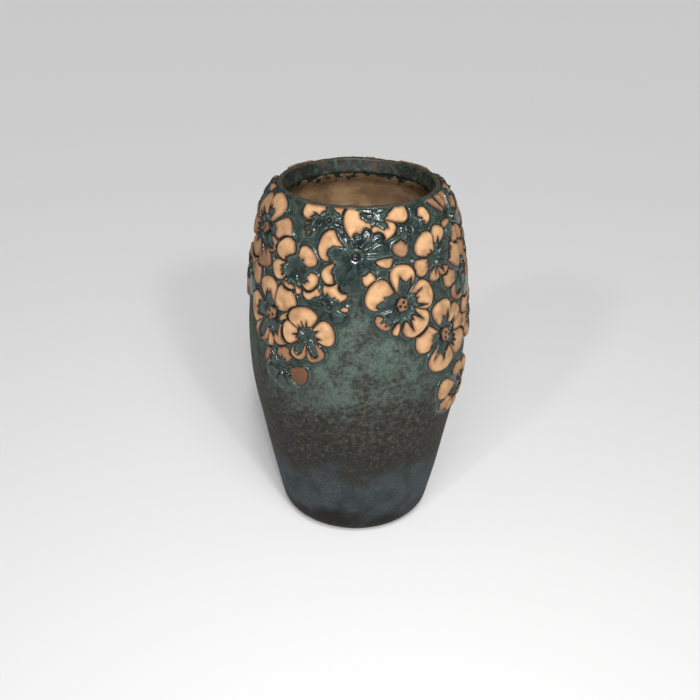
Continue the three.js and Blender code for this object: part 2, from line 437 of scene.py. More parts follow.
def garland_glaze(s, place):
    """Colour of the glossy green glaze that lies around and in the flowers."""
    clouds = s.step(s.noise(place, 5.0, 4.0, 0.65), 0.38, 0.62)
    colour = s.mix(clouds, GREEN_DEEP, GREEN_CLEAR)
    specks = s.step(s.noise(place, 0.9, 2.0), 0.55, 0.70)
    return s.mix(s.times(specks, 0.6), colour, BURNT)


def flower_material():
    """Bare clay inside the flowers' outlines, glossy glaze everywhere else."""
    s = Shader("flower_clay_and_glaze")
    place = s.place()
    bare = s.plus(s.field("bare"), s.swing(s.noise(place, 1.3, 3.0), WANDER))
    grain = s.noise(place, 0.5, 4.0, 0.7)
    patches = s.noise(place, 7.0, 3.0)

    clay = s.mix(s.step(patches, 0.35, 0.7), CLAY_PALE, CLAY_TAN)
    clay = s.mix(s.step(grain, 0.55, 0.8, 0.0, 0.35), clay, CLAY_RUST)
    clay = s.mix(s.field("tone"), clay, CLAY_RUST)
    clay = s.mix(s.times(s.step(bare, *CLAY_TOASTED), 0.62), clay, CLAY_RUST)
    clay = s.mix(s.step(bare, *CLAY_BURNT), clay, BURNT)

    bead = s.times(s.step(bare, *BEAD_OUTSIDE), s.step(bare, *BEAD_INSIDE))
    glaze = s.mix(s.field("pool"), garland_glaze(s, place), INK_BLUE)
    # The bead is painted lighter: partly milky glaze on the ridge, partly a painted highlight along it.
    glaze = s.mix(s.times(bead, 0.28), glaze, MILKY_GLAZE_AND_HIGHLIGHT)
    glaze = s.mix(s.step(bare, *GLAZE_BURNT), glaze, BURNT)
    glazed = s.step(bare, *GLAZE_FROM)
    fine = s.blend(glazed, s.plus(grain, s.noise(place, 1.6)), s.noise(place, 2.4, 2.0))
    relief = s.bump(fine, 0.26, s.bump(bead, 0.34))
    return s.finish(s.mix(glazed, clay, glaze), s.blend(glazed, 0.80, 0.09), 0.5, relief)


def outer_wall_colour(s, place, height, drift, mottle, fine):
    """The outside: teal clouds, then brown and green ash, then slate, then a dark foot."""
    clouds = s.noise(place, 11.0, 4.0, 0.6)
    lively = s.plus(s.times(mottle, 0.7), s.times(fine, 0.3))
    ash = s.mix(s.step(drift, *ASH_GREENS), ASH_BROWN, ASH_GREEN)
    dark = s.mix(s.step(drift, *DARK_GREENS), UMBER, ASH_DEEP)
    ground = s.mix(s.step(lively, 0.40, 0.61), dark, ash)
    colour = s.mix(s.step(drift, *MOTTLE_SHOWS, 0.40, 1.0), UMBER, ground)
    cloudy = s.plus(s.times(s.field("cloud"), 0.22), s.plus(lively, clouds))
    teal_share = s.times(s.step(cloudy, 1.00, 1.36), s.step(drift, *TEAL_ZONE))
    colour = s.mix(teal_share, colour, TEAL_CLOUD)

    spots = s.times(s.step(s.cells(place, 2.2), 0.42, 0.22), s.step(mottle, 0.46, 0.60))
    crater = s.math("ABSOLUTE", s.math("SUBTRACT", s.cells(place, 5.0), 0.25))
    crater = s.times(s.step(crater, 0.08, 0.03), s.step(mottle, 0.48, 0.62))
    olive_zone = s.times(s.step(drift, *OLIVE_FROM), s.step(drift, *OLIVE_FADES, 0.35, 1.0))
    olive_share = s.times(s.math("MAXIMUM", spots, crater), olive_zone)
    colour = s.mix(s.times(olive_share, 0.5), colour, OLIVE)

    slate = s.mix(s.step(clouds, 0.36, 0.58), SLATE_DEEP, SLATE)
    flecks = s.plus(drift, s.swing(lively, SLATE_FLECKS))
    colour = s.mix(s.step(flecks, *SLATE_BELOW), colour, slate)
    colour = s.mix(s.step(drift, *FOOT_BELOW), colour, FOOT_DARK)
    rust_dots = s.times(s.step(s.cells(place, 4.0), 0.20, 0.10), s.step(height, *RUST_DOTS_BELOW))
    colour = s.mix(s.times(rust_dots, 0.5), colour, CLAY_RUST)
    pits = s.times(s.step(fine, 0.50, 0.60), 0.62)
    return s.mix(pits, colour, FOOT_DARK)


def inner_wall_colour(s, place, height):
    """The inside: bare clay, with glaze that ran down from under the lip and a few splashes of it."""
    clay = s.mix(s.step(s.noise(place, 14.0, 3.0), 0.35, 0.65), INSIDE_TAN, INSIDE_BROWN)
    under_lip = s.times(s.math("SUBTRACT", height, UNDER_LIP), 0.035)
    drips = s.step(s.plus(s.noise(place, 4.5, 3.0, 0.6), under_lip), 0.43, 0.46)
    clay = s.mix(drips, clay, GREEN_DEEP)
    splash = s.times(s.step(s.noise(place, 1.8, 1.0), 0.66, 0.70), s.step(height, *SPLASHED_FROM))
    return s.mix(splash, clay, GREEN_DEEP)


def wall_material():
    """The thrown body: reactive glaze outside, darker downwards, and bare clay inside."""
    s = Shader("wall_reactive_glaze")
    place = s.place()
    height = s.height(place)
    near = s.field("near")
    inside = s.field("inside")
    drift = s.plus(height, s.swing(s.noise(place, 26.0, 3.0), DRIFT))
    mottle = s.noise(place, 2.6, 5.0, 0.72)
    fine = s.noise(place, 0.8, 3.0, 0.65)

    colour = outer_wall_colour(s, place, height, drift, mottle, fine)
    colour = s.mix(s.step(near, *NEAR_FLOWERS), colour, garland_glaze(s, place))
    colour = s.mix(s.step(height, *WORN_FOOT), colour, CLAY_RUST)
    colour = s.mix(inside, colour, inner_wall_colour(s, place, height))

    satin = s.blend(s.step(near, *GLOSS_NEAR_FLOWERS), 0.60, 0.20)
    satin = s.plus(satin, s.times(fine, 0.10))
    rings = s.step(s.cells(place, 3.4), 0.10, 0.30)
    relief = s.plus(s.times(rings, 0.5), s.plus(mottle, fine))
    return s.finish(colour, s.blend(inside, satin, 0.9), 0.15, s.bump(relief, 0.22))


def rim_material():
    """The lip: green glaze that thins to grey-brown on top, dark and mottled on the inner band."""
    s = Shader("rim_thinned_glaze")
    place = s.place()
    inside = s.field("inside")
    mottle = s.noise(place, 3.0, 4.0, 0.66)
    fine = s.noise(place, 0.8, 3.0, 0.6)
    patches = s.noise(place, 12.0, 3.0)
    inner = s.mix(s.step(mottle, 0.48, 0.68), BAND_DARK, GREEN_CLEAR)
    inner = s.mix(s.step(s.plus(fine, patches), 1.04, 1.16), inner, BAND_BROWN)
    colour = s.mix(inside, garland_glaze(s, place), inner)
    worn = s.times(s.field("crest"), s.step(s.plus(mottle, patches), 0.80, 1.10))
    colour = s.mix(worn, colour, RIM_WORN)
    colour = s.mix(s.times(s.step(fine, 0.52, 0.66), 0.7), colour, BURNT)
    relief = s.bump(s.plus(mottle, fine), 0.2)
    return s.finish(colour, s.blend(inside, 0.24, 0.60), 0.25, relief)


FLOWER = flower_material()
BODY = wall_material()
RIM = rim_material()


def make_cushion(name, spot, grid, height, root, node, slot_name, bare, tone, pool):
    """Lays a cushion's grid over a spot of the wall and closes it with a buried point."""
    turn, along, radius = spot
    x, y, around, across = grid
    top = over_wall(turn + x / radius, along + y, height)
    points = np.vstack([top, over_wall(turn, along, root)])
    fields = {"bare": np.append(bare, NEVER_BARE), "tone": np.append(tone, 0), "pool": np.append(pool, 0)}
    make_piece(name, points, fan_grid(across, around), FLOWER, node, slot_name, **fields)


# ---- The blossoms' carving ----
# The blossoms in front, by number: each one's centre, its petals and the star carved through them.
# Directions are in degrees (0 to the right, 90 up), distances in millimetres from the centre.
# A petal is (direction, reach, half its spread, how rusty its clay is, or GLAZED).
# A star is a list of its corners (direction, distance), or the three values of a ruled_star:
# tips in each petal, the share of the petal that they reach, and the share left in the valleys.
GLAZED = -1
FRONT = {}
FRONT[1] = "ring", [
    (162, 20.5, 31, 0), (220, 20.6, 18, 0), (262, 20, 20, GLAZED), (297, 17, 16, 0), (322, 15, 10, GLAZED),
    (347, 19.5, 13, 0), (15, 17, 14, GLAZED), (38, 16.5, 13, GLAZED), (63, 14.5, 13, GLAZED),
    (88, 10.8, 13, GLAZED), (110, 9, 12, GLAZED)
], [
    (144, 7), (147, 9.2), (153, 10.4), (157, 12.6), (163, 13.6), (168, 14.6), (175, 14.8), (181, 14.6),
    (186, 13.6), (192, 13.9), (199, 12.5), (206, 11.6), (212, 13.9), (217, 15.1), (224, 15.3), (229, 16.4),
    (236, 18.5), (241, 23), (281, 23), (285, 11), (298, 10.8), (310, 10.4), (316, 14), (330, 14),
    (337, 11.5), (342, 10), (349, 11), (354, 13.4), (357, 23), (45, 23), (90, 23), (130, 23), (138, 12)
]
FRONT[2] = "pit", [
    (152, 16.5, 33, 0), (52, 14, 30, 0), (208, 13.5, 23, 1), (255, 11, 22, GLAZED), (305, 11, 28, GLAZED),
    (5, 11, 24, GLAZED)
], [
    (184, 9), (179, 10.3), (172, 9.4), (166, 8.5), (162, 9.6), (160, 8.2), (162, 5), (150, 5.2), (138, 5.6),
    (128, 5.2), (120, 6), (112, 7), (105, 9.5), (95, 10), (84, 9), (79, 6.4), (66, 6), (52, 5.6), (37, 6.4),
    (28, 6), (19, 7.4), (12, 9), (5, 16), (300, 16), (240, 16), (226, 15), (222, 10.8), (216, 10.4),
    (212, 14), (201, 14), (199, 10.4), (194, 10), (190, 14), (187, 12)
]
FRONT[3] = "star", [
    (202, 16.5, 45, 0), (296, 12.6, 46, 0), (4, 17.5, 20, 0), (60, 14, 30, GLAZED), (130, 12, 28, GLAZED)
], [
    (150, 10), (158, 7.8), (167, 8.2), (175, 7.6), (183, 7.5), (189, 6.8), (198, 5.6), (209, 5.4), (223, 4),
    (240, 4.6), (253, 5), (264, 4.4), (275, 4.6), (288, 5.8), (298, 7.6), (306, 7.2), (314, 8.2), (319, 7.2),
    (324, 6.8), (328, 5.6), (345, 4.6), (356, 5), (5, 6.2), (12, 6.2), (20, 9), (26, 16), (90, 16),
    (145, 16)
]
FRONT[4] = "button", [
    (75, 20, 33, .2), (12, 22.5, 21, .25), (322, 15, 22, .4), (283, 22, 20, .7), (238, 20, 24, .4),
    (195, 20, 18, .4), (140, 20, 28, .3)
], [
    (45, 6), (52, 7), (60, 11), (68, 12), (78, 11), (88, 12.4), (94, 11), (100, 13), (106, 9), (114, 7),
    (125, 9), (133, 12), (140, 8), (148, 12.5), (156, 8), (165, 11), (175, 7), (185, 11), (195, 7),
    (205, 10), (213, 6.5), (222, 11), (230, 7), (238, 12), (246, 7.5), (256, 8), (264, 13), (272, 9),
    (280, 15), (288, 9), (296, 14), (303, 8), (312, 12), (322, 14), (334, 13), (342, 8), (350, 10.5),
    (357, 11.6), (5, 11.4), (12, 12.2), (20, 11), (28, 9), (36, 7)
]
FRONT[5] = "ring", [
    (25, 16.5, 22, 0), (75, 14, 25, GLAZED), (130, 13, 28, GLAZED), (191, 10.5, 14, 0), (238, 14, 24, .5),
    (300, 13, 34, GLAZED)
], [
    (0, 16), (5, 10), (12, 11), (18, 9.6), (26, 10.5), (34, 9.5), (42, 9), (48, 16), (110, 16), (180, 16),
    (183, 6), (191, 6.4), (198, 16), (213, 16), (220, 6.2), (228, 7.2), (234, 6), (241, 7.6), (248, 6.4),
    (256, 8), (262, 16), (310, 16)
]
FRONT[6] = "glazed", [
    (135, 20.5, 8, .5), (106, 18, 12, .4), (78, 18, 11, .5), (50, 17, 14, GLAZED), (20, 17, 14, .5),
    (190, 10.5, 15, .3), (228, 12, 22, GLAZED), (266, 14, 16, .3), (300, 16, 16, .4), (340, 16, 20, GLAZED)
], (1, .42, .7)
FRONT[7] = "star", [
    (132, 16.5, 33, 0), (46, 14.4, 33, 0), (330, 15, 26, 0), (285, 14.5, 9, 0), (252, 12.5, 24, .2),
    (199, 15.5, 28, 0)
], [
    (166, 6.6), (175, 7.4), (185, 8.8), (192, 7.6), (200, 8.8), (207, 7.9), (216, 9.3), (224, 8.3),
    (232, 8.6), (240, 9.6), (248, 8.4), (256, 9.3), (266, 8.6), (274, 10), (284, 9), (292, 11), (300, 9.6),
    (307, 9.3), (313, 9), (320, 10.2), (325, 9.4), (330, 10.8), (335, 9.1), (343, 8.6), (350, 9.5),
    (358, 8.6), (8, 9.6), (14, 7.6), (20, 7.8), (27, 7.2), (33, 7.2), (40, 7), (47, 8.3), (53, 6.6),
    (60, 6.8), (75, 7.5), (90, 7.8), (99, 8), (105, 7), (113, 7.5), (118, 6.9), (125, 7.5), (133, 7),
    (142, 7.9), (151, 6.8), (158, 7.6)
]
FRONT[8] = "button", [
    (125, 15.5, 38, 0), (200, 14, 27, 0), (264, 13, 20, .1), (310, 13, 22, .2), (350, 12, 18, GLAZED),
    (68, 17, 22, .1), (22, 14, 22, GLAZED)
], [
    (98, 3.6), (112, 4), (118, 4.2), (124, 6), (130, 4.4), (137, 4.6), (151, 6.2), (158, 4.6), (170, 4.5),
    (182, 5), (190, 6.8), (198, 5.2), (206, 7.4), (214, 5.6), (222, 8.2), (232, 5.6), (244, 8.6), (254, 5),
    (262, 9), (272, 5), (282, 8.6), (292, 5.5), (300, 10.5), (312, 7), (322, 11), (334, 16), (30, 16),
    (50, 12), (60, 8), (72, 11), (82, 7), (90, 10)
]
FRONT[9] = "ring", [
    (72, 13.5, 42, 0), (148, 15.8, 23, 0), (205, 12, 30, GLAZED), (262, 10, 27, GLAZED),
    (312, 11, 25, GLAZED), (356, 10.5, 11, 0)
], [
    (26, 6.8), (36, 6.4), (45, 6.9), (54, 6.2), (62, 7), (74, 5.6), (86, 6.4), (96, 8.1), (104, 6.8),
    (114, 7.8), (126, 7.6), (136, 7.8), (143, 8.8), (150, 9.3), (156, 9.6), (163, 10.2), (169, 12),
    (174, 18), (260, 18), (344, 18), (347, 7), (354, 6.3), (3, 6.5), (8, 7.5), (12, 16), (20, 9)
]
FRONT[10] = "button", [
    (155, 20, 34, 0), (86, 21, 28, 0), (14, 19.5, 34, 0), (304, 20.5, 34, 0), (257, 17.5, 9, .1),
    (222, 17, 23, .3)
], [
    (351, 15), (357, 9), (3, 8), (12, 8.2), (18, 9.6), (23, 8), (28, 8.5), (33, 13.8), (38, 9), (46, 7),
    (53, 6), (58, 9), (63, 12), (69, 15.6), (75, 13.6), (81, 12.4), (90, 13.8), (95, 15.8), (103, 10),
    (110, 7), (120, 7.5), (128, 8.6), (138, 9.2), (146, 10), (152, 11.6), (158, 10.3), (165, 11.8),
    (174, 13.8), (180, 14.4), (186, 12.6), (196, 16), (203, 13), (210, 12), (216, 14.8), (222, 12),
    (229, 14.6), (236, 12), (243, 15), (247, 18), (251, 11), (258, 9.5), (264, 11), (268, 18), (273, 11),
    (279, 9.2), (285, 11), (291, 16.8), (297, 9.6), (303, 11), (308, 8.6), (314, 9.4), (320, 15.4), (326, 9),
    (336, 8), (343, 9)
]
FRONT[11] = "star", [
    (112, 20, 28, .15), (178, 18, 22, .2), (240, 16, 30, .4), (300, 17, 30, GLAZED), (5, 17, 30, .3),
    (60, 17, 24, .4)
], [
    (60, 8), (75, 9), (90, 8), (100, 5.5), (112, 4.5), (125, 5), (140, 6), (160, 8), (172, 9), (182, 9.4),
    (192, 8.5), (205, 9), (220, 12), (235, 13.5), (248, 12), (262, 10), (275, 11), (290, 9), (305, 10),
    (320, 8), (335, 9), (350, 7.5), (5, 9), (20, 7.5), (35, 9), (48, 7.5)
]
FRONT[12] = "star", [
    (10, 15, 34, .4), (80, 15, 34, .3), (150, 17, 34, .4), (225, 16, 36, .3), (300, 14, 36, GLAZED)
], (3, .6, .65)
FRONT[13] = "button", [
    (108, 20, 27, 0), (50, 20.5, 29, 0), (0, 15.5, 18, 0), (186, 21, 32, 0), (238, 20.5, 23, .1),
    (270, 20, 8, 0), (304, 18.5, 24, .1)
], [
    (80, 6), (70, 6.5), (62, 7.5), (55, 6.2), (45, 8), (38, 6.6), (32, 7), (26, 8), (20, 11.6), (12, 8),
    (355, 6.5), (345, 8), (336, 8), (328, 8), (318, 9), (310, 10), (300, 12.5), (292, 10), (285, 13),
    (278, 14), (270, 9.5), (262, 9), (256, 10), (252, 15), (247, 18.5), (240, 19), (233, 17), (228, 13),
    (222, 9), (215, 8), (208, 9), (200, 13), (192, 11.4), (183, 12.6), (175, 11), (168, 12.4), (160, 11.6),
    (152, 9), (145, 12), (135, 9), (125, 9.5), (115, 12), (112, 10.8), (107, 13.4), (102, 11.6), (96, 13),
    (91, 11), (86, 8)
]
FRONT[14] = "star", [
    (108, 15.5, 47, 0), (186, 15.5, 32, 0), (13, 15.5, 37, 0), (247, 16, 22, .2), (296, 16, 25, .5)
], [
    (53, 5), (62, 5.2), (72, 5.4), (82, 5), (88, 8), (94, 4.2), (103, 4.4), (110, 7.8), (117, 4.6), (126, 5),
    (133, 6.6), (140, 5), (150, 4.8), (158, 6), (166, 4.8), (176, 5), (187, 7.8), (193, 5), (203, 6.4),
    (210, 5.2), (222, 7), (230, 10.5), (240, 13), (250, 13.4), (258, 11), (264, 6), (272, 6), (280, 9),
    (288, 13), (296, 13.6), (304, 13), (312, 9), (320, 5.6), (335, 6), (345, 6.4), (354, 8.8), (0, 6),
    (10, 5.4), (20, 6), (28, 8), (34, 5.4), (44, 5)
]
FRONT[15] = "star", [
    (80, 13, 32, .6), (158, 14.5, 24, .6), (352, 16, 27, 1), (215, 14, 28, GLAZED), (268, 14, 26, GLAZED),
    (312, 14, 16, GLAZED)
], [
    (45, 7), (56, 6), (66, 8), (74, 6.2), (82, 8.6), (90, 6.4), (100, 7.6), (112, 7), (122, 16), (135, 16),
    (140, 9), (150, 10.5), (158, 9), (168, 11), (178, 9), (186, 16), (250, 16), (318, 16), (324, 8),
    (335, 6.6), (345, 8), (352, 6.2), (2, 7.2), (14, 6.5), (24, 8), (34, 16), (40, 12)
]
FRONT[16] = "button", [
    (175, 20.5, 30, 0), (98, 20.5, 29, 0), (46, 19, 20, 0), (10, 19, 16, 0), (326, 22, 26, 0),
    (262, 21.5, 37, 0)
], [
    (150, 6.5), (158, 9), (165, 11), (171, 10.4), (178, 11.4), (186, 10.6), (193, 11.8), (199, 13),
    (205, 9.5), (210, 7), (222, 8), (228, 11), (232, 15.5), (238, 10.5), (246, 11), (254, 12), (261, 14.5),
    (266, 10), (274, 9), (284, 8), (300, 8), (308, 12), (314, 8), (322, 11), (330, 7.5), (338, 9), (348, 7),
    (356, 9), (6, 6.5), (18, 7), (30, 10), (38, 8), (46, 11), (56, 7.5), (64, 7), (70, 7), (76, 10),
    (83, 14.4), (90, 11.5), (97, 11), (104, 12.8), (110, 10.4), (118, 9), (126, 8), (134, 6)
]
FRONT[17] = "star", [
    (176, 18.5, 28, 0), (95, 13, 36, .1), (222, 19, 13, .25), (250, 18, 14, .25), (280, 17, 16, .1),
    (325, 18, 26, 0), (20, 18, 30, 0), (140, 14, 10, GLAZED)
], [
    (60, 7), (80, 6), (88, 8), (95, 5), (102, 7), (110, 6), (125, 8), (150, 7), (160, 5), (170, 6),
    (180, 4.6), (190, 6), (200, 6), (208, 9), (214, 10), (222, 8.5), (230, 11), (240, 9), (250, 11),
    (260, 8), (270, 10), (285, 8), (300, 10), (315, 8), (330, 10), (345, 8), (0, 10), (15, 7.5), (30, 9.5),
    (45, 7.5)
]
# Where two blossoms overlap, the one named earlier lies on top.
ON_TOP = [10, 16, 14, 7, 1, 3, 13, 8, 4, 9]


BACK_SEED = 700
BACK_PETALS = 5
BACK_SPACING = 360 / BACK_PETALS
BACK_GLAZED = 0.14  # share of the petals behind that are glazed all over


def back_blossom(number, reach, has_button):
    """A blossom of five petals like those in front, drawn from its own number."""
    draw = np.random.default_rng(BACK_SEED + number)
    spin = draw.uniform(0, BACK_SPACING)
    petals = []
    for k in range(BACK_PETALS):
        rust = GLAZED if draw.random() < BACK_GLAZED else draw.uniform(0, 0.2)
        petals.append((spin + BACK_SPACING * k + draw.uniform(-6, 6),
                       reach * draw.uniform(0.92, 1.04), draw.uniform(32, 38), rust))
    centre = "button" if has_button else str(draw.choice(["star", "ring"]))
    star = (int(draw.integers(2, 5)), draw.uniform(0.45, 0.7), draw.uniform(0.5, 0.75))
    return centre, petals, star


OUTLINE_POINTS = 44
SQUARENESS = 2.8  # the superellipse's power: 2 would be round
PETAL_MIDDLE = 0.55  # share of its reach at which a petal is widest


def petal_outline(petal, seed):
    """A rounded wedge: a superellipse in angle and radius, a little uneven."""
    direction, reach, spread = petal[0], petal[1] * PETAL_REACH, petal[2] * PETAL_WIDTH
    wave = np.random.default_rng(seed).uniform(0, 2 * math.pi, 3)
    around = evenly(OUTLINE_POINTS)
    power = 2 / SQUARENESS
    across = np.sign(np.cos(around)) * np.abs(np.cos(around)) ** power
    out = np.sign(np.sin(around)) * np.abs(np.sin(around)) ** power
    middle = reach * PETAL_MIDDLE
    radius = middle + (reach - middle) * out
    radius = radius * (1 + 0.02 * np.sin(2 * around + wave[0]) + 0.015 * np.sin(3 * around + wave[1]))
    angle = across * (0.98 + 0.03 * np.sin(around + wave[2]))
    return polar(np.radians(direction + spread * angle), radius)


STAR_STEP = 2.0  # degrees between a ruled star's corners
STAR_HUB = 4.0  # its radius between petals
PAST_PETAL = 1.2  # how far a star runs through a petal that is glazed all over, as a share of its reach
TIPS_ACROSS = 0.72  # share of a petal's spread that its tips are set out over


def ruled_star(petals, tips, share, valley, seed):
    """A jagged star: this many points in each petal, reaching this share of it, from shallow valleys."""
    draw = np.random.default_rng(seed)
    around = np.arange(0, 360, STAR_STEP)
    radius = np.full(len(around), STAR_HUB)
    for direction, reach, spread, rust in petals:
        away = (around - direction + 180) % 360 - 180
        here = np.abs(away) < spread * 1.05
        if rust == GLAZED:
            radius[here] = reach * PAST_PETAL
            continue
        base = reach * share * valley * draw.uniform(0.9, 1.1)
        radius[here] = base * (1 - 0.12 * (away[here] / spread) ** 2)
        for k in range(tips):
            at = spread * TIPS_ACROSS * ((k + 0.5) / tips * 2 - 1) + draw.uniform(-3, 3)
            tip = reach * share * draw.uniform(0.85, 1.12) - base
            width = math.degrees(draw.uniform(1.0, 1.5) / base)
            radius += tip * np.maximum(0, 1 - np.abs(away - at) / width)
    return polar(np.radians(around), radius)


def drawn_star(corners):
    angle, radius = np.array(corners, float).T
    return polar(np.radians(angle), radius)


PER_DEGREE = 2  # bins in which a blossom's outline is measured
BINS = 360 * PER_DEGREE
NOOK = 14  # bins to each side over which the nooks between petals are filled in
SOFTEN = 10  # and over which that outline is then smoothed


class Blossom:
    """One applied flower: where it sits on the wall and what is cut into it."""

    def __init__(self, number):
        self.number = number
        self.node = f"blossom_{number:02d}"
        self.button = f"button_{number:02d}"
        self.has_button = self.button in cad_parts
        self.turn, self.along = hub(self.node)
        self.radius = float(wall_at(self.along)[0])
        self.spot = (self.turn, self.along, self.radius)
        if number in FRONT:
            self.centre, self.petals, star = FRONT[number]
        else:
            spots = [along_at(p) for p in np.unique(np.round(corners(self.node), 3), axis=0)]
            reach = max(np.hypot(*self.local(t, a)) for t, a in spots)
            self.centre, self.petals, star = back_blossom(number, reach, self.has_button)
        self.outlines = [petal_outline(p, number * 20 + k) for k, p in enumerate(self.petals)]
        ruled = isinstance(star, tuple)
        self.star = ruled_star(self.petals, *star, number) if ruled else drawn_star(star)
        self.rank = ON_TOP.index(number) if number in ON_TOP else len(ON_TOP) + number

    def local(self, turn, along):
        """Distance to the right and up from the centre, measured on the wall."""
        return np.sin(turn - self.turn) * self.radius, along - self.along

    def petal_distances(self, points):
        return np.array([signed_distance(points, outline) for outline in self.outlines])

    def reach_by_angle(self, angles):
        """The outline's radius at each angle, with the nooks between petals filled in."""
        far = np.zeros(BINS)
        for outline in self.outlines:
            for share in np.linspace(0, 1, 12, endpoint=False):
                p = outline * (1 - share) + np.roll(outline, -1, axis=0) * share
                slot = (np.degrees(np.arctan2(p[:, 1], p[:, 0])) * PER_DEGREE).astype(int) % BINS
                np.maximum.at(far, slot, np.hypot(p[:, 0], p[:, 1]))
        far = np.max([np.roll(far, k) for k in range(-NOOK, NOOK + 1)], axis=0)
        far = np.mean([np.roll(far, k) for k in range(-SOFTEN, SOFTEN + 1)], axis=0)
        slots = np.degrees(angles) % 360 * PER_DEGREE
        return np.interp(slots, np.arange(BINS + 1), np.append(far, far[0]))


def covered_by_others(blossom, blossoms, turn, along):
    """Signed distance to the blossoms that lie on top of this one, positive under them."""
    under = np.full(turn.shape, -9.0)
    for other in blossoms:
        if other.rank >= blossom.rank:
            continue
        x, y = other.local(turn, along)
        facing = np.cos(turn - other.turn) > 0.3
        limit = max(p[1] for p in other.petals) + 3
        near = np.flatnonzero(facing & (np.hypot(x, y) < limit))
        if not len(near):
            continue
        points = np.stack([x[near], y[near]], -1)
        under[near] = np.maximum(under[near], other.petal_distances(points).max(0))
    return under


BIG_FLOWER = 1  # the blossom in front whose middle is one large open ring
BIG_RING = 4.2
SMALL_RING = 2.6
PIT_RING = 2.4


def centre_relief(blossom, far):
    """Height that a blossom's own centre adds, by distance from the centre."""
    if blossom.centre == "ring":
        size = BIG_RING if blossom.number == BIG_FLOWER else SMALL_RING
        return 0.95 * ridge_at(far, size, 0.75) - 0.9 * smoothstep(far, size * 0.85, size * 0.3)
    if blossom.centre == "pit":
        return 0.8 * ridge_at(far, PIT_RING, 0.6) - smoothstep(far, 1.4, 0.6)
    if blossom.centre in ("button", "glazed"):
        return -smoothstep(far, 4.4, 2.6)
    return -0.35 * smoothstep(far, 3.0, 0.5)


def petal_relief(petal, star, whole, far):
    """Height of the petals, the clay between them, and the star carved through both."""
    rise = 1 - np.clip(petal / PETAL_ROUND, 0, 1)
    pillow = PETAL_TOP * np.sqrt(np.maximum(1 - rise**2, 0))
    pillow += PETAL_DOME * smoothstep(petal, 0.5, 6.0)
    middle = smoothstep(far, 7.0, 3.0)
    slab = SLAB * np.maximum(smoothstep(petal, -1.2, -0.2), middle * 1.6)
    fillet = np.where(petal < 0, FILLET * np.exp(petal / 0.8), 0)
    height = np.maximum(np.maximum(pillow, slab), fillet)
    carved = smoothstep(star, -0.15, 0.65) * np.where(whole, GLAZED_CARVED, 1.0)
    height = height - CARVED * carved * smoothstep(height, 0.3, 1.5)
    ridge = ridge_at(petal, 0.9, 0.35) * np.where(whole, RIDGE, 0.0)
    vein = ridge_at(star, -0.25, 0.28) * smoothstep(petal, 0.3, 1.0) * VEIN
    return height + ridge + vein


def bare_clay(blossom, petal, second, star, under, whole, far):
    """Distance into a blossom's bare clay, negative where glaze covers it."""
    edges = [petal + BARE_MARGIN, petal - second - 0.1, BARE_MARGIN - star, -under - 0.35]
    bare = np.minimum.reduce(edges)
    bare = np.where(whole, -np.abs(bare) - 0.6, bare)
    if blossom.centre in ("ring", "pit"):
        bare = np.minimum(bare, far - 5.5)
        hole = 1.5 if blossom.number == BIG_FLOWER else 1.0
        spot = 0.45 - np.abs(far - hole) if blossom.centre == "pit" else hole - far
        bare = np.maximum(bare, spot)
    return bare


def make_blossom(blossom, blossoms):
    """A blossom's petals, carving and skirt of glaze, in one closed piece with its edge in the wall."""
    edge = blossom.reach_by_angle(evenly(FLOWER_GRID[0])) + SKIRT
    x, y, share = cushion(edge, *FLOWER_GRID)
    far = np.hypot(x, y)
    points = np.stack([x, y], -1)
    turn = blossom.turn + x / blossom.radius
    along = blossom.along + y
    to_mouth = wall_length - along

    each = np.minimum(blossom.petal_distances(points), to_mouth)
    petal = each.max(0)
    second = np.sort(each, axis=0)[-2]
    star = signed_distance(points, blossom.star)
    rust = np.array([p[3] for p in blossom.petals], float)[each.argmax(0)]
    whole = rust == GLAZED
    under = covered_by_others(blossom, blossoms, turn, along)

    height = petal_relief(petal, star, whole, far)
    height += centre_relief(blossom, far) * smoothstep(far, 12, 8)
    height += 0.10 * ripple(x, y, 7.0, blossom.number) * smoothstep(petal, -1, 1)
    stays = smoothstep(-under, -0.35, 0.75)
    height = height * stays - SUNK * (1 - stays)
    height = height * smoothstep(to_mouth, -0.6, 0.8) - SUNK * smoothstep(to_mouth, 0.3, -0.8)
    rim = smoothstep(share, 0.93, 1.0)
    height = height * (1 - rim) - SUNK * rim

    bare = bare_clay(blossom, petal, second, star, under, whole, far)
    if blossom.centre in ("ring", "pit"):
        rust = np.where(far < 3, 0.9, rust)
    pooled = np.clip(smoothstep(star, 1.0, 4.0) * 0.4 + smoothstep(-petal, 0.0, 1.2) * 0.35, 0, 1)
    make_cushion(f"flower_{blossom.number:02d}", blossom.spot, (x, y, *FLOWER_GRID),
                 height, -SUNK - ROOT, blossom.node, "bare_clay", bare, rust, pooled)


BUTTON_SEED = 40
BUTTON_BOX = 2.75  # the diagonal of a button's box, in radii of the button
BUTTON_EDGE = 1.0  # height of its edge above the wall
BUTTON_DOME = 1.7  # height of its middle above that
BUTTON_ROOT = -0.8
PRICKS = 3
PRICK_SPACING = 2.1  # radians
PRICK_OUT = 0.46  # share of the button's radius
RUSTY_BUTTON = 4  # the blossom whose button is the darker clay
HOLLOW = 0.62  # share of a glazed ring's radius


def pricked_button(x, y, share, size, draw):
    """Height that the needle's holes take off a pad of clay, and its distance into bare clay."""
    height = np.zeros(len(x))
    bare = (1 - share) * size + 0.15
    for at in draw.uniform(0, 6.28) + np.arange(PRICKS) * PRICK_SPACING:
        hole_x, hole_y = polar(at, size * PRICK_OUT)
        off = np.hypot(x - hole_x, y - hole_y)
        height = height - 1.1 * smoothstep(off, 0.5, 0.18)
        bare = np.minimum(bare, off - 0.35)
    return height, bare


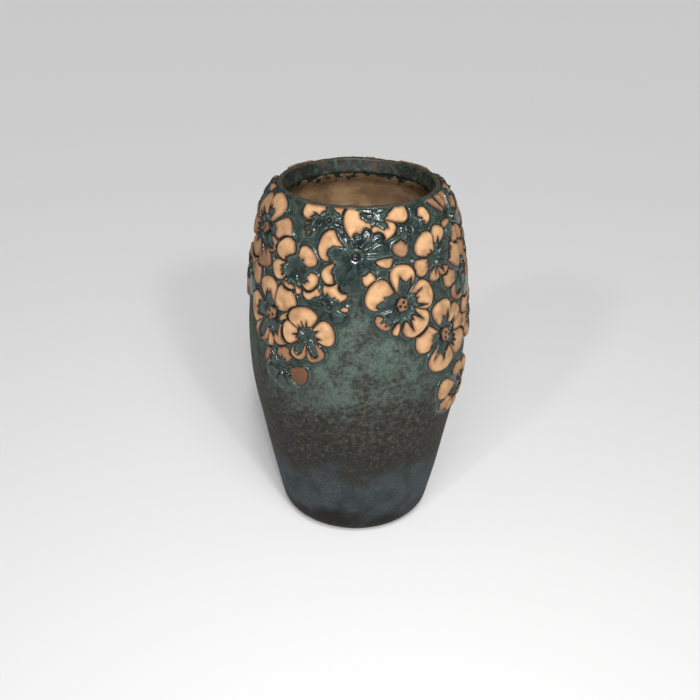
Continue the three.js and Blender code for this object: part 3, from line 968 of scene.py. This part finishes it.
def make_button(blossom):
    """A pad of clay in the blossom's middle, pricked with a needle, or a glazed ring around a hollow."""
    draw = np.random.default_rng(BUTTON_SEED + blossom.number)
    low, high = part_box(blossom.button)
    size = (Vector(high) - Vector(low)).length / MM / BUTTON_BOX
    angles = evenly(BUTTON_GRID[0])
    lobes = draw.uniform(0, 6, 2)
    wobble = 1 + 0.12 * np.sin(2 * angles + lobes[0]) + 0.08 * np.sin(5 * angles + lobes[1])
    x, y, share = cushion(size * wobble, *BUTTON_GRID)
    far = np.hypot(x, y)
    height = BUTTON_EDGE + BUTTON_DOME * np.sqrt(np.maximum(1 - share**4, 0))
    pooled = np.zeros(len(x))
    if blossom.centre in ("button", "star"):
        holes, bare = pricked_button(x, y, share, size, draw)
        height = height + holes
        tone = 0.8 if blossom.number == RUSTY_BUTTON else 0.4
    else:
        hollow = size * HOLLOW
        height = height + 0.35 * ridge_at(far, size * 0.78, 0.4)
        height = height - 1.7 * smoothstep(far, hollow, hollow * 0.45)
        spot = np.hypot(x + size * 0.12, y - size * 0.1) - size * 0.2
        is_clay = (spot < 0) & (blossom.centre != "glazed")
        bare = np.where(is_clay, 0.5, -1.5)
        pooled = smoothstep(far, hollow, hollow * 0.5)
        tone = 1.0
    height = np.where(share > 0.999, -0.3, height)
    make_cushion(f"centre_{blossom.number:02d}", blossom.spot, (x, y, *BUTTON_GRID),
                 height, BUTTON_ROOT, blossom.button, "button_clay", bare,
                 np.full(len(x), tone), pooled)


LEAF_LENGTH = 5.6  # from its middle to its tip
LEAF_NARROWER = 2.0  # how much less it is from its middle to its side
LEAF_LEAN = 100  # degrees from the right to the tip
LEAF_SKIRT = 1.6
LEAF_TOP = 1.6
LEAF_ROUND = 1.2
LEAF_FILLET = 0.7
LEAF_RIDGE_IN = 0.8  # where its raised outline runs, in from its edge
LEAF_BURIED = (-0.9, -1.6)
LEAF_ROOT = -2.0


def make_leaf():
    """A small glazed leaf with a raised outline."""
    low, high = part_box("leaf")
    turn, along = along_at(tuple((Vector(low) + Vector(high)) / 2 / MM))
    radius = float(wall_at(along)[0])
    lean = evenly(LEAF_GRID[0]) - math.radians(LEAF_LEAN)
    edge = LEAF_LENGTH - LEAF_NARROWER * np.abs(np.sin(lean)) + LEAF_SKIRT
    x, y, share = cushion(edge, *LEAF_GRID)
    inside = (1 - share) * np.append(LEAF_LENGTH, np.tile(edge, LEAF_GRID[1])) - LEAF_SKIRT
    rise = 1 - np.clip(inside / LEAF_ROUND, 0, 1)
    pillow = LEAF_TOP * np.sqrt(np.maximum(1 - rise**2, 0))
    height = np.maximum(pillow, np.where(inside < 0, LEAF_FILLET * np.exp(inside), 0))
    height += 0.6 * ridge_at(inside, LEAF_RIDGE_IN, 0.35) - 0.5 * smoothstep(inside, 1.2, 2.4)
    height -= (SUNK + 0.6) * smoothstep(inside, *LEAF_BURIED)
    none = np.zeros(len(x))
    # Its bare field sets the glaze bead on the raised outline, which is painted lighter there, partly as a
    # painted highlight.
    make_cushion("leaf_glazed", (turn, along, radius), (x, y, *LEAF_GRID), height,
                 LEAF_ROOT, "leaf", "wall_glaze", -0.9 - np.abs(inside - LEAF_RIDGE_IN), none, none)


# ---- Turned pieces ----
def turned_faces(rows, around, closed):
    """Faces of a turned piece: a torus when closed, otherwise capped by a point at each end."""
    ring = np.arange(around)
    after = (ring + 1) % around
    faces = []
    for k in range(rows if closed else rows - 1):
        a = k * around
        b = (k + 1) % rows * around
        faces += list(np.stack([a + ring, a + after, b + after, b + ring], -1))
    if not closed:
        start, end = rows * around, rows * around + 1
        last = (rows - 1) * around
        faces += [np.array([start, p, q]) for q, p in zip(ring, after)]
        faces += [np.array([end, last + p, last + q]) for p, q in zip(ring, after)]
    return faces


# Where the teal glaze pools on the wall: turn, height, half width in degrees, half height.
CLOUDS = [(4, 132, 30, 30), (-22, 104, 16, 14), (38, 112, 16, 16), (92, 116, 26, 22), (-78, 116, 22, 20),
          (150, 104, 30, 18), (-165, 128, 26, 22), (-118, 100, 20, 16)]
# The body's section inside the mouth, as (radius beyond the coil's inner face, height over its
# underside): a land under the coil, then a slope back to the wall's full thickness.
UNDER_COIL = [(1.3, 0.4), (1.5, -0.8), (3.0, -3.2), (5.4, -6.2)]
# Its corner at the inside floor, as (radius within the wall's lowest inner ring, height over the floor).
FLOOR_CORNER = [(3.5, 4.5), (7.5, 1.0)]
FLAT_RINGS = [12, 28]  # radii of the rings that keep the base and the floor flat
FLOOR_RING = 30
INNER_FROM = 9  # the inner wall's rings start this far over the floor
INNER_TO = 10  # and end this far under the coil


def body_profile(along):
    """The body's section, from under the base to the inside floor, and which rings are inside."""
    radius, height, _, _ = wall_at(along)
    outside = np.column_stack([radius, height])
    land = [(MOUTH_RADIUS - 0.4, HEIGHT - 1.6), (MOUTH_RADIUS - 0.6, UNDER_LIP + 1.0)]
    land += [(LIP_INNER + out, UNDER_LIP + up) for out, up in UNDER_COIL]
    wall = [(r, z) for r, z in outside if FLOOR + INNER_FROM < z < UNDER_LIP - INNER_TO]
    inner = [(r - WALL, z) for r, z in wall[::-2]]
    corner = [(inner[-1][0] - back, FLOOR + up) for back, up in FLOOR_CORNER]
    corner += [(FLOOR_RING, FLOOR), (FLAT_RINGS[0], FLOOR)]
    foot = [(r, 0.0) for r in FLAT_RINGS]
    profile = np.vstack([foot, outside, land, inner, corner])
    is_inside = np.arange(len(profile)) >= len(foot) + len(outside)
    return profile, is_inside.astype(float), slice(len(foot), len(foot) + len(outside))


def distance_to_flowers(blossoms, turns, along):
    """How far each place of the outer wall is from the nearest blossom's edge, or from the mouth."""
    grid_turn, grid_along = np.meshgrid(turns, along)
    near = np.minimum(FAR_AWAY, wall_length - grid_along)
    for blossom in blossoms:
        x, y = blossom.local(grid_turn, grid_along)
        facing = np.cos(grid_turn - blossom.turn) > 0.2
        edge = blossom.reach_by_angle(np.arctan2(y, x))
        near = np.minimum(near, np.where(facing, np.hypot(x, y) - edge, FAR_AWAY))
    return near


def make_body(blossoms):
    """The thrown wall, its rounded base and its floor, in one closed piece."""
    along = np.arange(0, wall_length, BODY_ROW)
    profile, is_inside, outer_rows = body_profile(along)
    ring_r, ring_z = profile.T
    throwing = 0.22 * np.sin(ring_z / 3.1) + 0.15 * np.sin(ring_z / 1.27 + 1)
    thrown = (is_inside > 0) & (ring_z < HEIGHT - 18) & (ring_z > FLOOR + 6)
    turns = evenly(BODY_AROUND)
    r = (ring_r + throwing * thrown)[:, None] * np.ones_like(turns)
    z = ring_z[:, None] * np.ones_like(turns)
    r = r + 0.16 * ripple(r * turns, z, 46, 3) * smoothstep(z, 4, 20) * (r > 20)
    points = np.stack([r * np.sin(turns), -r * np.cos(turns), z], -1).reshape(-1, 3)
    points = np.vstack([points, [[0, 0, 0.0], [0, 0, FLOOR]]])

    near = np.full(r.shape, FAR_AWAY)
    near[outer_rows] = distance_to_flowers(blossoms, turns, along)
    cloud = np.zeros(r.shape)
    for turn, level, wide, tall in CLOUDS:
        away = (np.degrees(turns) - turn + 180) % 360 - 180
        cloud += np.exp(-((away / wide) ** 2) - (((z - level) / tall) ** 2))
    fields = {"near": np.append(near, [FAR_AWAY, FAR_AWAY]),
              "cloud": np.append(np.minimum(cloud, 1), [0, 0]),
              "inside": np.append(np.repeat(is_inside, BODY_AROUND), [0, 1])}
    make_piece("thrown_wall", points, turned_faces(len(profile), BODY_AROUND, False), BODY,
               "thrown_body", "wall_glaze", **fields)


RIM_STEP = 0.4  # spacing of the rings over the coil


def make_rim():
    """The coil in the mouth: a thick, slightly uneven lip that runs into the shoulder outside."""
    low, inner, outer, lip = UNDER_LIP, LIP_INNER, LIP_OUTER, LIP_TOP_INNER
    shoulder = [(outer + 0.9, HEIGHT - 2.2), (outer + 0.5, HEIGHT - 1.3), (outer - 0.2, HEIGHT - 0.5),
                (outer - 0.8, HEIGHT - 0.1), ((outer + lip) / 2, HEIGHT), (lip + 0.6, HEIGHT - 0.25),
                (lip + 0.1, HEIGHT - 1.0), (lip - 0.2, HEIGHT - 2.2), ((lip + inner) / 2, HEIGHT - 4.2),
                (inner + 0.1, low + 2.0), (inner + 0.3, low + 0.6), (inner + 1.4, low)]
    top, _ = smooth_line(shoulder, RIM_STEP)
    hidden = [(inner + 4.0, low + 0.1), (outer - 0.2, low + 0.4), (outer - 0.1, HEIGHT - 3.5)]
    profile = np.vstack([top, hidden])
    turns = evenly(BODY_AROUND)
    r = profile[:, :1] * np.ones_like(turns)
    z = profile[:, 1:] * np.ones_like(turns)
    crest = smoothstep(profile[:, 1], HEIGHT - 1.5, HEIGHT - 0.3)[:, None]
    x, y = outer * np.sin(turns), outer * np.cos(turns)
    z = z + 0.45 * ripple(x, y, 38, 11) * smoothstep(z, low + 2, HEIGHT)
    z = z + 0.20 * ripple(x, y, 9, 12) * crest
    r = r + 0.30 * ripple(x, y, 26, 13) * smoothstep(r, outer + 0.8, inner) * smoothstep(z, low, low + 2)
    points = np.stack([r * np.sin(turns), -r * np.cos(turns), z], -1).reshape(-1, 3)
    band = smoothstep(profile[:, 0], lip + 1, lip) * smoothstep(profile[:, 1], HEIGHT, HEIGHT - 1.5)
    fields = {"crest": np.repeat(crest, BODY_AROUND), "inside": np.repeat(band, BODY_AROUND)}
    make_piece("lip_coil", points, turned_faces(len(profile), BODY_AROUND, True), RIM,
               "rim_coil", "rim_glaze", **fields)


count = sum(1 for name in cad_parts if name.startswith("blossom"))
blossoms = [Blossom(number + 1) for number in range(count)]
make_body(blossoms)
make_rim()
for blossom in blossoms:
    make_blossom(blossom, blossoms)
    if blossom.has_button:
        make_button(blossom)
make_leaf()


# ---- Floor, light and camera ----
FLOOR_HALF = 4.0  # half the width of the floor, in metres


def floor():
    paint = Shader("pale_floor").finish(rgb(0.80, 0.80, 0.80), 0.9, 0.5)
    mesh = bpy.data.meshes.new("floor")
    square = [(-1, -1), (1, -1), (1, 1), (-1, 1)]
    mesh.from_pydata([(x * FLOOR_HALF, y * FLOOR_HALF, 0) for x, y in square], [], [(0, 1, 2, 3)])
    mesh.materials.append(paint)
    put("floor", mesh)


# Distant lights: name, energy, apparent size, turn and rise in degrees.
SUNS = [("key", 1.75, 8, 4, 37), ("glint_left", 0.40, 5, -30, 29), ("glint_right", 0.60, 5, 21, 29),
        ("glint_high", 0.45, 5, 8, 54)]
SUN_DISTANCE = 2
# One near lamp: its size in metres, energy, turn, rise and distance.
SOFTBOX = (0.24, 1.6, 6, 42, 0.5)
WORLD_STRENGTH = 0.14
LIT_HEIGHT = 0.12  # what the lights are aimed at


def aim(name, light, turn, rise, distance):
    """Places a light so that it shines on the vase: turn and rise in degrees, seen from the vase."""
    target = Vector((0, 0, LIT_HEIGHT))
    a, e = math.radians(turn), math.radians(rise)
    away = Vector((math.sin(a) * math.cos(e), -math.cos(a) * math.cos(e), math.sin(e)))
    lamp = put(name, light)
    lamp.location = target + distance * away
    lamp.rotation_euler = (-away).to_track_quat("-Z", "Y").to_euler()


def lighting():
    world = bpy.data.worlds.new("studio")
    world.use_nodes = True
    background = world.node_tree.nodes["Background"]
    background.inputs["Color"].default_value = rgb(1, 1, 1)
    background.inputs["Strength"].default_value = WORLD_STRENGTH
    bpy.context.scene.world = world
    bpy.context.scene.view_settings.view_transform = "Standard"
    for name, energy, angle, turn, rise in SUNS:
        sun = bpy.data.lights.new(name, "SUN")
        sun.energy = energy
        sun.angle = math.radians(angle)
        aim(name, sun, turn, rise, SUN_DISTANCE)
    box = bpy.data.lights.new("softbox", "AREA")
    box.size, box.energy = SOFTBOX[:2]
    aim("softbox", box, *SOFTBOX[2:])


CAMERA_DISTANCE = 0.63
CAMERA_RISE = math.radians(26.8)
CAMERA_ROLL = math.radians(0.76)
LENS = 53.8
SENSOR = 36
SHIFT = (-0.0096, -0.0023)


def camera():
    """Looks down at the vase from in front, close by."""
    target = Vector((0, 0, HEIGHT * MM / 2))
    data = bpy.data.cameras.new("camera")
    data.lens = LENS
    data.sensor_width = SENSOR
    data.shift_x, data.shift_y = SHIFT
    view = put("camera", data)
    view.location = target + CAMERA_DISTANCE * Vector((0, -math.cos(CAMERA_RISE), math.sin(CAMERA_RISE)))
    look = (target - view.location).to_track_quat("-Z", "Y").to_matrix().to_4x4()
    spin = look @ Matrix.Rotation(CAMERA_ROLL, 4, "Z")
    view.rotation_euler = spin.to_euler()
    bpy.context.scene.camera = view


floor()
lighting()
camera()
